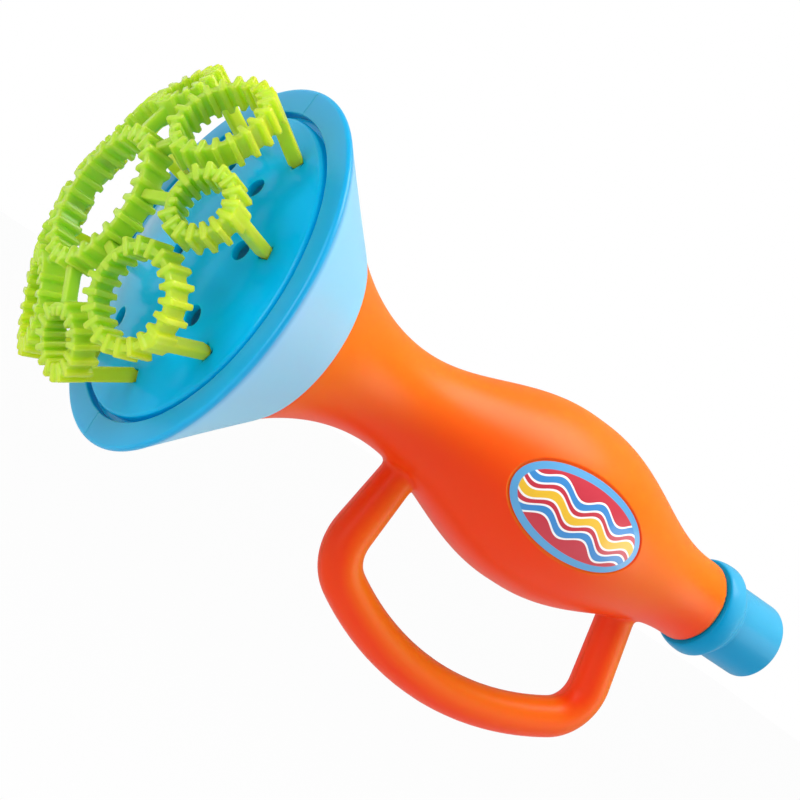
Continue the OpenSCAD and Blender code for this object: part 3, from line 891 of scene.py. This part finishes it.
crown = bmesh.new()
toothed_ring(crown, on_head(head_turn, 0, bell_front + crown_height), crown_r, crown_fins, 0)
bmesh.ops.recalc_face_normals(crown, faces=crown.faces)
crown = blended("crown", crown, ring_voxel, ring_passes)
crown_piece = mesh_piece("crown_ring_lime", crown, ring_crease)
crown_piece.data.materials.append(lime)
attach(crown_piece, "bubble_head")
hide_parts("crown_ring")

# Studio
# A plain white floor lies well below the held-up toy, in a white surround. A softbox hangs overhead,
# weaker ones fill from ahead of the bell and from the mouth end, and a large one lights the far side.
floor_drop = 0.24
floor_middle = -0.12
floor_half = 6
floor_grey = 0.75
floor_rough = 0.8
floor_glow = 0.97
ambient = 0.38
floor_mesh = bmesh.new()
bmesh.ops.create_grid(floor_mesh, x_segments=1, y_segments=1, size=floor_half,
                      matrix=Matrix.Translation((floor_middle, 0, -floor_drop)))
floor = mesh_piece("floor", floor_mesh)
floor_paint = bpy.data.materials.new("floor_white")
floor_paint.use_nodes = True
nodes = floor_paint.node_tree.nodes
link = floor_paint.node_tree.links.new
nodes["Principled BSDF"].inputs["Base Color"].default_value = (floor_grey, floor_grey, floor_grey, 1)
nodes["Principled BSDF"].inputs["Roughness"].default_value = floor_rough
seen = nodes.new("ShaderNodeLightPath")
glow = nodes.new("ShaderNodeEmission")
glow.inputs["Color"].default_value = (1, 1, 1, 1)
mix = nodes.new("ShaderNodeMixShader")
most = nodes.new("ShaderNodeMath")
most.operation = "MULTIPLY"
most.inputs[1].default_value = floor_glow
link(seen.outputs["Is Camera Ray"], most.inputs[0])
link(most.outputs["Value"], mix.inputs["Fac"])
link(nodes["Principled BSDF"].outputs["BSDF"], mix.inputs[1])
link(glow.outputs["Emission"], mix.inputs[2])
link(mix.outputs["Shader"], nodes["Material Output"].inputs["Surface"])
floor.data.materials.append(floor_paint)

world = bpy.data.worlds.new("studio")
bpy.context.scene.world = world
world.use_nodes = True
nodes = world.node_tree.nodes
link = world.node_tree.links.new
back = nodes["Background"]
back.inputs["Color"].default_value = (1, 1, 1, 1)
seen = nodes.new("ShaderNodeLightPath")
level = nodes.new("ShaderNodeMapRange")
level.inputs["To Min"].default_value = ambient
level.inputs["To Max"].default_value = 1.0
link(seen.outputs["Is Camera Ray"], level.inputs["Value"])
link(level.outputs["Result"], back.inputs["Strength"])


def softbox(name, spot, size, power):
    """A square area light at a spot, aimed at the middle of the toy."""
    lamp = bpy.data.lights.new(name, "AREA")
    lamp.energy = power
    lamp.size = size
    holder = bpy.data.objects.new(name, lamp)
    holder.location = spot
    holder.rotation_euler = (Vector(toy_middle) - Vector(spot)).to_track_quat("-Z", "Y").to_euler()
    bpy.context.scene.collection.objects.link(holder)


toy_middle = (-0.13, 0, -0.01)
softbox("overhead", spot=(0.0, -0.2, 0.75), size=0.5, power=6.4)
softbox("front_fill", spot=(-0.98, -0.28, 0.15), size=0.6, power=4.4)
softbox("side_fill", spot=(0.7, -0.5, 0.05), size=0.5, power=2.4)
softbox("far_card", spot=(-0.5, 0.85, 0.1), size=0.9, power=1.5)

# Camera
# It stands level with the horn, ahead of the bell on the player's left, rolled so that the horn falls
# to the right across a square frame.
camera_spot = (-0.4451, -0.4465, 0.0)
camera_lens = 87.6
camera_sensor = 36
right = Vector((0.6956, -0.4435, 0.5653)).normalized()
ahead = Vector((0.5376, 0.8432, 0.0)).normalized()
camera = bpy.data.cameras.new("camera")
camera.lens = camera_lens
camera.sensor_width = camera_sensor
camera_holder = bpy.data.objects.new("camera", camera)
overhead = right.cross(ahead).normalized()
turn = Matrix((right, overhead, -ahead)).transposed()
camera_holder.matrix_world = Matrix.Translation(camera_spot) @ turn.to_4x4()
bpy.context.scene.collection.objects.link(camera_holder)
bpy.context.scene.camera = camera_holder
bpy.context.scene.view_settings.view_transform = "Standard"
